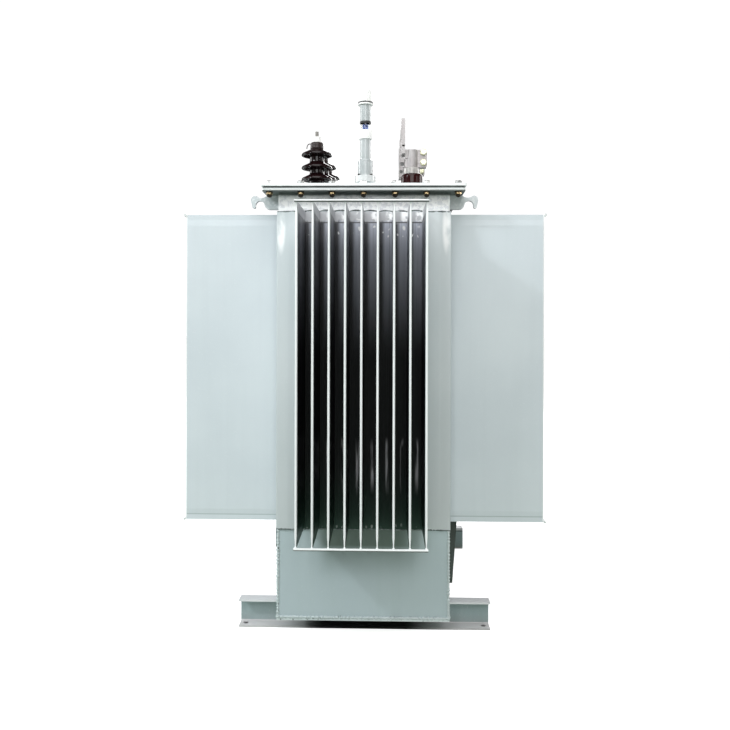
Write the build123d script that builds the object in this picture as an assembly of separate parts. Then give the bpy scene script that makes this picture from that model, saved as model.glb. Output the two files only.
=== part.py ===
from build123d import *
import os

os.makedirs("parts", exist_ok=True)

# Oil-filled power transformer with a corrugated tank, millimetres, +Z up.
# The photographed narrow end faces -Y, the high voltage row stands on -X and the low voltage row on +X.

# base rails, bent from plate, open side outward
rail_length = 820
rail_height = 90
rail_flange = 48
rail_plate = 6
rail_bend = 9
rail_setback = 199
anchor_hole_r = 9
anchor_end_inset = 20
anchor_web_gauge = 24

# tank
bottom_plate = 8
bottom_ledge = 3
body_half_x = 261
body_half_y = 585
body_corner_r = 4
skirt_height = 272
wall_sheet = 5
wall_height = 968
wall_corner_r = 4
collar_step = 1
collar_height = 56
collar_corner_r = 8

# cooling fins, folded from the wall sheet and pressed flat at both ends
fin_pitch = 45
fin_thickness = 6.5
fin_pinched = 3
fin_pinch_length = 16
fin_pinch_run = 18
fin_fold = 2.5
fin_inset_low = 6
fin_inset_high = 1
end_fin_margin = 81
end_fin_depth = 216
side_fin_margin = 67.5
side_fin_depth = 296

# rods welded across the fin tips
rod_r = 4
rod_inset = 1
rod_overrun = 2

# flange, gasket and cover
flange_reach = 44
flange_land = 35
flange_thickness = 9
gasket_inset = 2
gasket_thickness = 6
cover_overhang = 3
cover_thickness = 8
cover_corner_r = 6

# lifting hooks under the flange
hook_thickness = 12
hook_setback = 50
hook_drop = 44
hook_reach = 92
hook_notch_r = 14
hook_notch_x = 63
hook_notch_z = -31

# high voltage bushings
hv_setback = 84
hv_spacing = 220
hv_foot_r = 36
hv_foot_height = 12
hv_ring_r = 46
hv_ring_height = 21
hv_body_r = 27.5
hv_neck_r = 25.5
hv_shed_r = 55
hv_shed_tips = (86, 127, 173)
hv_shed_rise = 18
hv_shed_lip = 4
hv_cap_r = 23
hv_cap_height = 27
hv_cap_chamfer = 7
hv_washer_r = 14
hv_washer_height = 5
hv_nut_flats = 24
hv_nut_height = 14
hv_stud_r = 6
hv_stud_length = 19
seat_clearance = 0.5

# low voltage bushings and their clamp terminals
lv_setback = 101
lv_spacing = 150
lv_r = 38.5
lv_groove_r = 32
lv_groove_z0 = 44
lv_groove_z1 = 52
lv_height = 103
lv_round = 10
lv_nut_r = 29
lv_nut_height = 22
lv_nut_chamfer = 3
lv_stud_r = 15
clamp_r = 24.5
clamp_height = 62
clamp_slit = 4
ear_reach = 52.5
ear_half_y = 15
ear_z0 = 0
ear_round = 7
flag_x0 = -37
flag_thickness = 12.5
flag_half_y = 32
flag_z0 = 46
flag_height = 123
flag_round = 6
flag_hole_r = 7
flag_hole_spacing = 45
flag_hole_drop = 24
flag_boss_half_y = 20
flag_boss_height = 30

# filler pipe with its level glass
filler_setback = 175
neck_r = 22
neck_height = 41
neck_flange_r = 33.5
neck_flange_height = 20
sleeve_r = 24
sleeve_height = 55
sleeve_chamfer = 5
pipe_r = 17
pipe_height = 66
union_r = 22
union_height = 30
union_chamfer = 2
glass_r = 16
glass_height = 22
glass_ring_r = 18
glass_ring_height = 7
upper_pipe_r = 17.5
upper_pipe_height = 54
seal_r = 24.5
seal_height = 9
cap_r = 20
cap_height = 39
cap_chamfer = 4

# plain bracket for a rating plate, on the low voltage side of the skirt
bracket_setback = 185
bracket_width = 250
bracket_lift = 42
bracket_height = 205
bracket_low = 29
bracket_high = 43
bracket_sheet = 4

# levels and places that follow from the sizes above
rail_web_y = body_half_y - rail_setback
anchor_x = rail_length / 2 - anchor_end_inset
anchor_y = rail_web_y + anchor_web_gauge
bottom_z1 = rail_height + bottom_plate
wall_z0 = bottom_z1 + skirt_height
wall_z1 = wall_z0 + wall_height
fin_z0 = wall_z0 + fin_inset_low
fin_z1 = wall_z1 - fin_inset_high
wall_half_x = body_half_x + wall_sheet
wall_half_y = body_half_y + wall_sheet
end_fin_count = int(2 * (body_half_x - end_fin_margin) / fin_pitch) + 1
side_fin_count = int(2 * (body_half_y - side_fin_margin) / fin_pitch) + 1
collar_half_x = body_half_x + collar_step
collar_half_y = body_half_y + collar_step
flange_half_x = body_half_x + flange_reach
flange_half_y = body_half_y + flange_reach
opening_half_x = body_half_x - flange_land
opening_half_y = body_half_y - flange_land
cover_half_x = flange_half_x + cover_overhang
cover_half_y = flange_half_y + cover_overhang
hook_y = body_half_y - hook_setback
hv_x = hv_setback - body_half_x
hv_top = hv_shed_tips[-1] + hv_shed_rise
lv_x = body_half_x - lv_setback
filler_y = filler_setback - body_half_y
bracket_y0 = bracket_setback - body_half_y
bracket_y1 = bracket_y0 + bracket_width
bracket_z0 = bottom_z1 + bracket_lift
bracket_z1 = bracket_z0 + bracket_height
flange_z0 = wall_z1 + collar_height
gasket_z0 = flange_z0 + flange_thickness
cover_z0 = gasket_z0 + gasket_thickness
cover_z1 = cover_z0 + cover_thickness


def save(shape, name):
    export_step(shape, "parts/" + name + ".step")


def block(x0, x1, y0, y1, z0, z1):
    return Pos((x0 + x1) / 2, (y0 + y1) / 2, (z0 + z1) / 2) * Box(x1 - x0, y1 - y0, z1 - z0)


def centred_block(half_x, half_y, z0, z1, corner_r):
    solid = block(-half_x, half_x, -half_y, half_y, z0, z1)
    return fillet(solid.edges().filter_by(Axis.Z), corner_r)


def disc(r, z0, z1):
    return Pos(0, 0, (z0 + z1) / 2) * Cylinder(r, z1 - z0)


def turned(points):
    # revolve an outline of (radius, height) pairs about the vertical axis
    outline = make_face(Polyline(*points, close=True))
    return revolve(Plane.XZ * outline, Axis.Z)


def rail():
    outer = rail_web_y + rail_flange
    inner = rail_web_y + rail_plate
    top = rail_height - rail_plate
    profile = make_face(
        Polyline(
            (rail_web_y, 0),
            (outer, 0),
            (outer, rail_plate),
            (inner, rail_plate),
            (inner, top),
            (outer, top),
            (outer, rail_height),
            (rail_web_y, rail_height),
            close=True,
        )
    )
    corners = profile.vertices()
    profile = fillet(corners.filter_by_position(Axis.X, rail_web_y - 1, rail_web_y + 1), rail_bend)
    bends = profile.vertices().filter_by_position(Axis.X, inner - 1, inner + 1)
    bends = bends.filter_by_position(Axis.Y, rail_plate - 1, top + 1)
    bends = [v for v in bends if abs(v.Y - rail_plate) < 0.5 or abs(v.Y - top) < 0.5]
    profile = fillet(bends, rail_bend - rail_plate)
    solid = extrude(Plane.YZ.offset(-rail_length / 2) * profile, amount=rail_length)
    for x in (-anchor_x, anchor_x):
        solid -= Pos(x, anchor_y, rail_plate / 2) * Cylinder(anchor_hole_r, rail_plate * 2)
    return solid


def fin(depth):
    # front outline with pinched ends, crossed with a plan outline that folds in at the tip
    full = fin_thickness / 2
    flat = fin_pinched / 2
    low = fin_z0 + fin_pinch_length
    high = fin_z1 - fin_pinch_length
    right = [
        (flat, fin_z0),
        (flat, low),
        (full, low + fin_pinch_run),
        (full, high - fin_pinch_run),
        (flat, high),
        (flat, fin_z1),
    ]
    left = [(-x, z) for x, z in reversed(right)]
    front = extrude(Plane.XZ * make_face(Polyline(*right, *left, close=True)), amount=depth)
    plan = make_face(
        Polyline(
            (-full, 0),
            (full, 0),
            (full, fin_fold - depth),
            (flat, -depth),
            (-flat, -depth),
            (-full, fin_fold - depth),
            close=True,
        )
    )
    return front & (Pos(0, 0, fin_z0) * extrude(plan, amount=fin_z1 - fin_z0))


def fin_wall(half_width, count, depth):
    # wall sheet with its outer face on the XZ plane and the fins standing out toward -Y
    sheet = block(-half_width, half_width, 0, wall_sheet, wall_z0, wall_z1)
    one = fin(depth)
    first = -(count - 1) / 2 * fin_pitch
    return sheet.fuse(*[Pos(first + i * fin_pitch, 0, 0) * one for i in range(count)])


def fin_rods(count, depth):
    length = (count - 1) * fin_pitch + fin_thickness + 2 * rod_overrun
    bar = Rot(0, 90, 0) * Cylinder(rod_r, length)
    y = -depth - rod_r
    return Compound([Pos(0, y, z) * bar for z in (fin_z0 + rod_inset, fin_z1 - rod_inset)])


def hook():
    # outline from the tank side outward, heights measured down from the flange
    x0 = collar_half_x
    z0 = flange_z0
    cx = x0 + hook_notch_x
    cz = z0 + hook_notch_z
    tip = x0 + hook_reach
    lip = flange_half_x - 1
    lines = [
        Line((x0, z0), (lip, z0)),
        ThreePointArc((lip, z0), (lip + 16, z0 - 7), (lip + 32, z0 - 1)),
        ThreePointArc((lip + 32, z0 - 1), (tip - 4, z0 - 5), (tip, z0 - 16)),
        Line((tip, z0 - 16), (tip - 5, z0 - 37)),
        ThreePointArc((tip - 5, z0 - 37), (tip - 10, z0 - 40), (cx + hook_notch_r, z0 - 36)),
        Line((cx + hook_notch_r, z0 - 36), (cx + hook_notch_r, cz)),
        ThreePointArc((cx + hook_notch_r, cz), (cx, cz + hook_notch_r), (cx - hook_notch_r, cz)),
        ThreePointArc((cx - hook_notch_r, cz), (cx - 20, z0 - 40), (cx - 33, z0 - hook_drop)),
        Line((cx - 33, z0 - hook_drop), (x0, z0 - hook_drop)),
        Line((x0, z0 - hook_drop), (x0, z0)),
    ]
    plate = extrude(Plane.XZ * make_face(lines), amount=hook_thickness / 2, both=True)
    return plate


def hv_porcelain():
    outline = [(0, 0), (hv_foot_r, 0), (hv_foot_r, hv_foot_height), (hv_body_r, hv_foot_height)]
    inner = hv_body_r
    for tip in hv_shed_tips:
        outline += [
            (inner, tip + hv_shed_lip),
            (hv_shed_r - 3, tip - hv_shed_lip),
            (hv_shed_r, tip),
            (hv_neck_r, tip + hv_shed_rise),
        ]
        inner = hv_neck_r
    outline.append((0, hv_top))
    return turned(outline)


def hv_ring():
    bore = hv_body_r + seat_clearance
    pocket = hv_foot_r + seat_clearance
    return turned(
        [
            (pocket, 0),
            (hv_ring_r, 0),
            (hv_ring_r, hv_foot_height),
            (hv_ring_r - 5, hv_ring_height),
            (bore, hv_ring_height),
            (bore, hv_foot_height),
            (pocket, hv_foot_height),
        ]
    )


def hv_cap():
    top = hv_top + hv_cap_height
    return turned(
        [
            (0, hv_top),
            (hv_cap_r, hv_top),
            (hv_cap_r, top - hv_cap_chamfer),
            (hv_cap_r - hv_cap_chamfer, top),
            (0, top),
        ]
    )


def hv_stud():
    z0 = hv_top + hv_cap_height
    z1 = z0 + hv_washer_height
    z2 = z1 + hv_nut_height
    nut = extrude(RegularPolygon(hv_nut_flats / 2, 6, major_radius=False), amount=hv_nut_height)
    return disc(hv_washer_r, z0, z1) + Pos(0, 0, z1) * nut + disc(hv_stud_r, z2, z2 + hv_stud_length)


def lv_porcelain():
    return turned(
        [
            (0, 0),
            (lv_r, 0),
            (lv_r, lv_groove_z0),
            (lv_groove_r, lv_groove_z0 + 2),
            (lv_groove_r, lv_groove_z1 - 2),
            (lv_r, lv_groove_z1),
            (lv_r, lv_height - lv_round),
            (lv_r - 3, lv_height - 3),
            (lv_r - lv_round, lv_height),
            (0, lv_height),
        ]
    )


def lv_nut():
    top = lv_height + lv_nut_height
    collar = turned(
        [
            (0, lv_height),
            (lv_nut_r, lv_height),
            (lv_nut_r, top - lv_nut_chamfer),
            (lv_nut_r - lv_nut_chamfer, top),
            (0, top),
        ]
    )
    return collar + disc(lv_stud_r, top, top + clamp_height)


def lv_clamp():
    z0 = lv_height + lv_nut_height
    z1 = z0 + clamp_height
    ears = block(0, ear_reach, -ear_half_y, ear_half_y, z0 + ear_z0, z1)
    outer = ears.edges().filter_by(Axis.Y).sort_by(Axis.X)[-2:]
    ears = fillet(outer, ear_round)
    flag_x1 = flag_x0 + flag_thickness
    flag_top = z0 + flag_z0 + flag_height
    flag = block(flag_x0, flag_x1, -flag_half_y, flag_half_y, z0 + flag_z0, flag_top)
    flag = fillet(flag.edges().filter_by(Axis.X).sort_by(Axis.Z)[-2:], flag_round)
    for i in range(2):
        z = flag_top - flag_hole_drop - i * flag_hole_spacing
        flag -= Pos(flag_x0 + flag_thickness / 2, 0, z) * Rot(0, 90, 0) * Cylinder(flag_hole_r, flag_thickness * 2)
    boss = block(flag_x1, 0, -flag_boss_half_y, flag_boss_half_y, z1 - flag_boss_height, z1)
    solid = disc(clamp_r, z0, z1) + ears + boss + flag
    solid -= disc(lv_stud_r + seat_clearance, z0 - 1, z1 + 1)
    solid -= block(0, ear_reach + 1, -clamp_slit / 2, clamp_slit / 2, z0 - 1, z1 + 1)
    return solid


def filler_pieces():
    # the pieces stand on each other, so each starts at the level where the last one ends
    z1 = neck_height
    z2 = z1 + neck_flange_height
    z3 = z2 + sleeve_height
    z4 = z3 + pipe_height
    z5 = z4 + union_height
    z6 = z5 + glass_height
    z7 = z6 + glass_ring_height
    z8 = z7 + upper_pipe_height
    z9 = z8 + seal_height
    z10 = z9 + cap_height
    sleeve = [
        (0, z2),
        (sleeve_r, z2),
        (sleeve_r, z3 - sleeve_chamfer),
        (pipe_r, z3),
        (pipe_r, z4),
        (0, z4),
    ]
    union = [
        (0, z4),
        (union_r - union_chamfer, z4),
        (union_r, z4 + union_chamfer),
        (union_r, z5 - union_chamfer),
        (union_r - union_chamfer, z5),
        (0, z5),
    ]
    cap = [(0, z9), (cap_r, z9), (cap_r, z10 - cap_chamfer), (cap_r - cap_chamfer, z10), (0, z10)]
    return {
        "filler_neck": disc(neck_r, 0, z1) + disc(neck_flange_r, z1, z2),
        "filler_pipe": turned(sleeve),
        "filler_union": turned(union),
        "level_glass": disc(glass_r, z5, z6),
        "level_glass_ring": disc(glass_ring_r, z6, z7),
        "filler_upper_pipe": disc(upper_pipe_r, z7, z8),
        "filler_cap_seal": disc(seal_r, z8, z9),
        "filler_cap": turned(cap),
    }


def plate_bracket():
    # two tapered cheeks welded to the skirt and a leaning face plate between them
    x0 = body_half_x
    low = x0 + bracket_low
    high = x0 + bracket_high
    s = bracket_sheet
    cheek = make_face(Polyline((x0, bracket_z0), (low, bracket_z0), (high, bracket_z1), (x0, bracket_z1), close=True))
    face = make_face(
        Polyline(
            (low - s, bracket_z0),
            (low, bracket_z0),
            (high, bracket_z1),
            (high - s, bracket_z1),
            close=True,
        )
    )
    length = bracket_y1 - bracket_y0
    solid = extrude(Plane.XZ.offset(-bracket_y1) * face, amount=length)
    solid += extrude(Plane.XZ.offset(-bracket_y1) * cheek, amount=s)
    solid += extrude(Plane.XZ.offset(-bracket_y0 - s) * cheek, amount=s)
    return solid


# base and tank
front_rail = mirror(rail(), about=Plane.XZ)
save(front_rail, "base_rail_front")
save(rail(), "base_rail_back")
ledge_x = body_half_x + bottom_ledge
ledge_y = body_half_y + bottom_ledge
save(centred_block(ledge_x, ledge_y, rail_height, bottom_z1, body_corner_r), "tank_bottom_plate")
save(centred_block(body_half_x, body_half_y, bottom_z1, wall_z1, body_corner_r), "tank_body")

# finned walls, end walls over the full width and side walls between them
end_wall = fin_wall(wall_half_x, end_fin_count, end_fin_depth)
corners = end_wall.edges().filter_by(Axis.Z).filter_by_position(Axis.Y, -0.1, 0.1)
corners = corners.sort_by(Axis.X)
end_wall = fillet([corners[0], corners[-1]], wall_corner_r)
side_wall = fin_wall(body_half_y, side_fin_count, side_fin_depth)
end_rods = fin_rods(end_fin_count, end_fin_depth)
side_rods = fin_rods(side_fin_count, side_fin_depth)
sides = {
    "front": (Pos(0, -wall_half_y, 0), end_wall, end_rods),
    "back": (Rot(0, 0, 180) * Pos(0, -wall_half_y, 0), end_wall, end_rods),
    "left": (Rot(0, 0, -90) * Pos(0, -wall_half_x, 0), side_wall, side_rods),
    "right": (Rot(0, 0, 90) * Pos(0, -wall_half_x, 0), side_wall, side_rods),
}
for side, (place, wall, rods) in sides.items():
    save(place * wall, side + "_corrugated_wall")
    save(place * rods, side + "_fin_rods")

# collar, flange, gasket and cover
save(centred_block(collar_half_x, collar_half_y, wall_z1, flange_z0, collar_corner_r), "tank_collar")
flange = centred_block(flange_half_x, flange_half_y, flange_z0, gasket_z0, cover_corner_r)
flange -= block(-opening_half_x, opening_half_x, -opening_half_y, opening_half_y, flange_z0 - 1, gasket_z0 + 1)
save(flange, "tank_flange")
gasket_half_x = flange_half_x - gasket_inset
gasket_half_y = flange_half_y - gasket_inset
gasket = centred_block(gasket_half_x, gasket_half_y, gasket_z0, cover_z0, cover_corner_r)
gasket -= block(-opening_half_x, opening_half_x, -opening_half_y, opening_half_y, gasket_z0 - 1, cover_z0 + 1)
save(gasket, "cover_gasket")
save(centred_block(cover_half_x, cover_half_y, cover_z0, cover_z1, cover_corner_r), "cover_plate")

# lifting hooks at the four corners
right_hook = hook()
left_hook = mirror(right_hook, about=Plane.YZ)
save(Pos(0, -hook_y, 0) * right_hook, "lifting_hook_front_right")
save(Pos(0, -hook_y, 0) * left_hook, "lifting_hook_front_left")
save(Pos(0, hook_y, 0) * right_hook, "lifting_hook_back_right")
save(Pos(0, hook_y, 0) * left_hook, "lifting_hook_back_left")

# high voltage row
hv_places = [Pos(hv_x, (i - 1) * hv_spacing, cover_z1) for i in range(3)]
save(Compound([p * hv_porcelain() for p in hv_places]), "hv_bushings")
save(Compound([p * hv_ring() for p in hv_places]), "hv_clamp_rings")
save(Compound([p * hv_cap() for p in hv_places]), "hv_caps")
save(Compound([p * hv_stud() for p in hv_places]), "hv_studs")

# low voltage row, neutral first
lv_places = [Pos(lv_x, (i - 1.5) * lv_spacing, cover_z1) for i in range(4)]
save(Compound([p * lv_porcelain() for p in lv_places]), "lv_bushings")
save(Compound([p * lv_nut() for p in lv_places]), "lv_studs")
save(Compound([p * lv_clamp() for p in lv_places]), "lv_terminal_clamps")

# filler pipe and rating plate bracket
for name, piece in filler_pieces().items():
    save(Pos(0, filler_y, cover_z1) * piece, name)
save(plate_bracket(), "nameplate_bracket")
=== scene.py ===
import bpy
import numpy as np
from mathutils import Matrix, Vector


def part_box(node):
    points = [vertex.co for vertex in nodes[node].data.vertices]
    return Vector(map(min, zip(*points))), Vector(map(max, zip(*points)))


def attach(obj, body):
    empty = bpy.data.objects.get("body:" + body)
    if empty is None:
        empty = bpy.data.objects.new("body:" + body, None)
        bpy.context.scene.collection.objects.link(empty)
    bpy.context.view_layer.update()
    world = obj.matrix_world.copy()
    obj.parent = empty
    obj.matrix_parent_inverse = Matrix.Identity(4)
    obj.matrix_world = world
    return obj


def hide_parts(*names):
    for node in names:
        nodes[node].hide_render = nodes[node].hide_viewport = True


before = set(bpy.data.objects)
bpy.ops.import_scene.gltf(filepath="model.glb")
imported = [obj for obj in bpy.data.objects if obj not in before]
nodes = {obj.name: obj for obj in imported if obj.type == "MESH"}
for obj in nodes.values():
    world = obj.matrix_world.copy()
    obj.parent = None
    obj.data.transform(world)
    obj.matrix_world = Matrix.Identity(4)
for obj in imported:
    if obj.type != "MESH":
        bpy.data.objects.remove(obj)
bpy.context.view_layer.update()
scene = bpy.context.scene
print("frame loaded,", len(nodes), "CAD nodes")


def middle(node, axis):
    # halfway between the two ends of the node's box
    low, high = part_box(node)
    return (low[axis] + high[axis]) / 2


# metres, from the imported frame
bodyLow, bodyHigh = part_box("tank_body")
endWallLow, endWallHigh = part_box("front_corrugated_wall")
tank = dict(
    halfX=bodyHigh[0], halfY=bodyHigh[1], skirtLow=bodyLow[2],
    panelLow=endWallLow[2], panelHigh=endWallHigh[2],
    flangeLow=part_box("tank_flange")[0][2], coverTop=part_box("cover_plate")[1][2],
    endTip=-endWallLow[1], sideTip=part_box("right_corrugated_wall")[1][0],
    pitch=0.045, finLow=0.376, finHigh=1.337, endFins=9, sideFins=24,
)
corners = ((-1, -1), (1, -1), (1, 1), (-1, 1))
rowSpots = dict(hv=(-0.22, 0.0, 0.22), lv=(-0.225, -0.075, 0.075, 0.225))
hvRow = [(middle("hv_bushings", 0), y, tank["coverTop"]) for y in rowSpots["hv"]]
lvRow = [(middle("lv_bushings", 0), y, tank["coverTop"]) for y in rowSpots["lv"]]
fillerAt = (middle("filler_pipe", 0), middle("filler_pipe", 1), tank["coverTop"])


# shapes

def roundedProfile(points, radii, steps):
    # each corner becomes a quadratic curve (1-t)^2 A + 2t(1-t) B + t^2 C,
    # where A and C lie a radius away from the corner B along its two sides
    p = np.asarray(points, float)
    r = np.asarray(radii, float)[:, None]
    before = np.roll(p, 1, 0) - p
    after = np.roll(p, -1, 0) - p
    a = p + before / np.maximum(np.linalg.norm(before, axis=1, keepdims=True), 1e-9) * r
    c = p + after / np.maximum(np.linalg.norm(after, axis=1, keepdims=True), 1e-9) * r
    t = np.linspace(0, 1, steps)[None, :, None]
    curve = (1 - t) ** 2 * a[:, None] + 2 * t * (1 - t) * p[:, None] + t ** 2 * c[:, None]
    keep = np.ones((len(p), steps), bool)
    keep[r[:, 0] <= 0, 1:] = False
    return curve[keep]


def drumProfile(v):
    # a plain drum about the axis, with its lower and upper rim rounded
    points = [(0, v["low"]), (v["r"], v["low"]), (v["r"], v["high"]), (0, v["high"])]
    return roundedProfile(points, [0, *v["rims"], 0], v["steps"])


def turnTo(axis):
    # rotation about X that carries +Z onto the named axis
    angle = {"+Z": 0.0, "-Z": np.pi, "+Y": -np.pi / 2, "-Y": np.pi / 2}[axis]
    return np.array(Matrix.Rotation(angle, 3, "X"))


def ringFaces(rings, sides, closed=False):
    # quads between neighbouring rings; a closed run also joins its last ring to its first
    i, j = np.meshgrid(np.arange(rings if closed else rings - 1), np.arange(sides), indexing="ij")
    k = (j + 1) % sides
    up = (i + 1) % rings
    quads = np.stack([i * sides + j, i * sides + k, up * sides + k, up * sides + j], -1)
    return quads.reshape(-1, 4)


def poleFaces(rings, sides):
    # triangles from the first and the last ring to their poles, which come after the rings' points
    j = np.arange(sides)
    k = (j + 1) % sides
    pole = np.full(sides, rings * sides)
    last = (rings - 1) * sides
    return np.stack([pole, k, j], -1), np.stack([pole + 1, last + j, last + k], -1)


def turned(profile, centre, sides, axis="+Z", ribs=0, ribDepth=0.0, ribFrom=0.6, turn=0.0):
    # surface of revolution: radius r(t) and height h(t) from the profile, carried round by an angle a,
    # with r + depth cos(ribs a) on its outer rings; the profile starts and ends at r = 0, in two poles
    prof = np.asarray(profile, float)
    rings = prof[1:-1]
    a = turn + np.arange(sides) * 2 * np.pi / sides
    outer = rings[:, :1] > ribFrom * prof[:, 0].max()
    r = rings[:, :1] + ribDepth * np.cos(ribs * a)[None, :] * outer
    grid = np.stack([r * np.cos(a), r * np.sin(a), np.repeat(rings[:, 1:], sides, 1)], -1)
    poles = [[0, 0, prof[0, 1]], [0, 0, prof[-1, 1]]]
    points = np.concatenate([grid.reshape(-1, 3), poles])
    faces = ringFaces(len(rings), sides).tolist()
    for fan in poleFaces(len(rings), sides):
        faces += fan.tolist()
    return points @ turnTo(axis).T + np.asarray(centre, float), faces


def bead(path, radius, ripple=0.0, wave=0.009, sides=8, seed=1, closed=False):
    # tube along a path: path(s) + r(s) (cos a n + sin a b), where n and b are square to the path
    # and r(s) = radius (1 + ripple (|sin(pi s / wave)| - 1/2) + noise)
    p = np.asarray(path, float)
    ahead = np.roll(p, -1, 0) - np.roll(p, 1, 0)
    if not closed:
        ahead[0] = p[1] - p[0]
        ahead[-1] = p[-1] - p[-2]
    tangent = ahead / np.linalg.norm(ahead, axis=1, keepdims=True)
    side = np.where(np.abs(tangent[:, 2:]) > 0.9, [[1.0, 0, 0]], [[0, 0, 1.0]])
    n = np.cross(side, tangent)
    n /= np.linalg.norm(n, axis=1, keepdims=True)
    b = np.cross(tangent, n)
    s = np.concatenate([[0], np.cumsum(np.linalg.norm(np.diff(p, axis=0), axis=1))])
    rough = np.random.default_rng(seed).normal(0, 0.35 * ripple, len(p))
    r = radius * (1 + ripple * (np.abs(np.sin(np.pi * s / wave)) - 0.5) + rough)
    a = np.arange(sides) * 2 * np.pi / sides
    ring = np.cos(a)[None, :, None] * n[:, None] + np.sin(a)[None, :, None] * b[:, None]
    points = (p[:, None] + r[:, None, None] * ring).reshape(-1, 3)
    faces = ringFaces(len(p), sides, closed).tolist()
    if not closed:
        faces += [list(range(sides))[::-1], list(range(len(points) - sides, len(points)))]
    return points, faces


def straight(start, end, spacing):
    # points at an even spacing from one end to the other
    a = np.asarray(start, float)
    b = np.asarray(end, float)
    count = max(3, int(np.linalg.norm(b - a) / spacing) + 1)
    return a + np.linspace(0, 1, count)[:, None] * (b - a)


def loopAround(halfX, halfY, z, corner, spacing):
    # level rectangle with round corners, walked once round at an even spacing
    arc = np.linspace(0, np.pi / 2, 6)[None, :]
    turnAt = np.arange(4)[:, None] * np.pi / 2
    cx = np.array([1, -1, -1, 1])[:, None] * (halfX - corner)
    cy = np.array([1, 1, -1, -1])[:, None] * (halfY - corner)
    x = (cx + corner * np.cos(arc + turnAt)).ravel()
    y = (cy + corner * np.sin(arc + turnAt)).ravel()
    x = np.append(x, x[0])
    y = np.append(y, y[0])
    s = np.concatenate([[0], np.cumsum(np.hypot(np.diff(x), np.diff(y)))])
    at = np.linspace(0, s[-1], int(s[-1] / spacing), endpoint=False)
    return np.stack([np.interp(at, s, x), np.interp(at, s, y), np.full(len(at), z)], -1)


def blob(centres, size, rows=5, cols=8):
    # ellipsoids: centre + (sx sin u cos v, sy sin u sin v, sz cos u), all centres in one array
    c = np.asarray(centres, float)
    u = np.linspace(np.pi, 0, rows + 2)[1:-1, None]
    v = np.arange(cols) * 2 * np.pi / cols
    unit = np.stack([np.sin(u) * np.cos(v), np.sin(u) * np.sin(v), np.cos(u) + 0 * v], -1)
    unit = np.concatenate([unit.reshape(-1, 3), [[0, 0, -1], [0, 0, 1]]])
    points = c[:, None] + unit[None] * np.asarray(size, float)
    shift = np.arange(len(c))[:, None, None] * len(unit)
    faces = []
    for part in (ringFaces(rows, cols), *poleFaces(rows, cols)):
        faces += (part[None] + shift).reshape(-1, part.shape[1]).tolist()
    return points.reshape(-1, 3), faces


# radians between two faces from which their edge is sharp
sharpFrom = dict(crisp=0.5, plain=0.6, soft=0.9, smooth=1.2)


def addPiece(name, shapes, material, standsFor=(), edges="plain"):
    # shapes are stacked into one mesh that rides on the tank
    points = np.concatenate([s[0] for s in shapes])
    starts = np.cumsum([0] + [len(s[0]) for s in shapes[:-1]])
    faces = [[v + int(start) for v in f] for s, start in zip(shapes, starts) for f in s[1]]
    mesh = bpy.data.meshes.new(name)
    mesh.from_pydata(points.tolist(), [], faces)
    mesh.validate()
    mesh.shade_smooth()
    mesh.set_sharp_from_angle(angle=sharpFrom[edges])
    obj = bpy.data.objects.new(name, mesh)
    scene.collection.objects.link(obj)
    mesh.materials.append(material)
    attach(obj, "root")
    if standsFor:
        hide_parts(*standsFor)
    print("made", name, len(faces), "faces")


# materials

def addNode(tree, kind, sockets=None, props=None, out=0):
    # a new node, each socket linked or set; gives one of its outputs
    node = tree.nodes.new(kind)
    for key, value in (props or {}).items():
        setattr(node, key, value)
    for key, value in (sockets or {}).items():
        if isinstance(value, bpy.types.NodeSocket):
            tree.links.new(value, node.inputs[key])
        else:
            node.inputs[key].default_value = value
    return node.outputs[out]


def math(tree, operation, a, b=0.0):
    return addNode(tree, "ShaderNodeMath", {0: a, 1: b}, {"operation": operation})


def plus(tree, a, b):
    return math(tree, "ADD", a, b)


def minus(tree, a, b):
    return math(tree, "SUBTRACT", a, b)


def times(tree, product, *factors):
    for factor in factors:
        product = math(tree, "MULTIPLY", product, factor)
    return product


def away(tree, value, centre=0.0):
    # distance to a centre, |value - centre|
    return math(tree, "ABSOLUTE", minus(tree, value, centre) if centre else value)


def split(tree, vector):
    return addNode(tree, "ShaderNodeSeparateXYZ", {0: vector}).node.outputs


def ramp(tree, value, low, high, toLow=0.0, toHigh=1.0):
    # smooth step from one value at low to another at high
    sockets = {"Value": value, "From Min": low, "From Max": high, "To Min": toLow, "To Max": toHigh}
    return addNode(tree, "ShaderNodeMapRange", sockets, {"interpolation_type": "SMOOTHSTEP"})


def mixColour(tree, factor, a, b):
    # a tone is a socket or three numbers
    a, b = (t if isinstance(t, bpy.types.NodeSocket) else (*t, 1.0) for t in (a, b))
    return addNode(tree, "ShaderNodeMix", {0: factor, 6: a, 7: b}, {"data_type": "RGBA"}, 2)


def noise(tree, place, scale, detail=3.0):
    # a scale of three numbers stretches the pattern
    if isinstance(scale, tuple):
        place = addNode(tree, "ShaderNodeMapping", {"Vector": place, "Scale": scale})
        scale = 1.0
    return addNode(tree, "ShaderNodeTexNoise", {"Vector": place, "Scale": scale, "Detail": detail})


def startMaterial(name, values):
    # shader with its fixed sockets set, and the Object coordinates that its patterns read
    mat = bpy.data.materials.new(name)
    mat.use_nodes = True
    tree = mat.node_tree
    shader = tree.nodes["Principled BSDF"]
    shader.inputs["Metallic"].default_value = values.get("metal", 0.0)
    shader.inputs["IOR"].default_value = values.get("ior", 1.5)
    shader.inputs["Specular IOR Level"].default_value = values.get("gloss", 0.5)
    place = addNode(tree, "ShaderNodeTexCoord", out="Object")
    return mat, tree, shader, place


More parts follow.
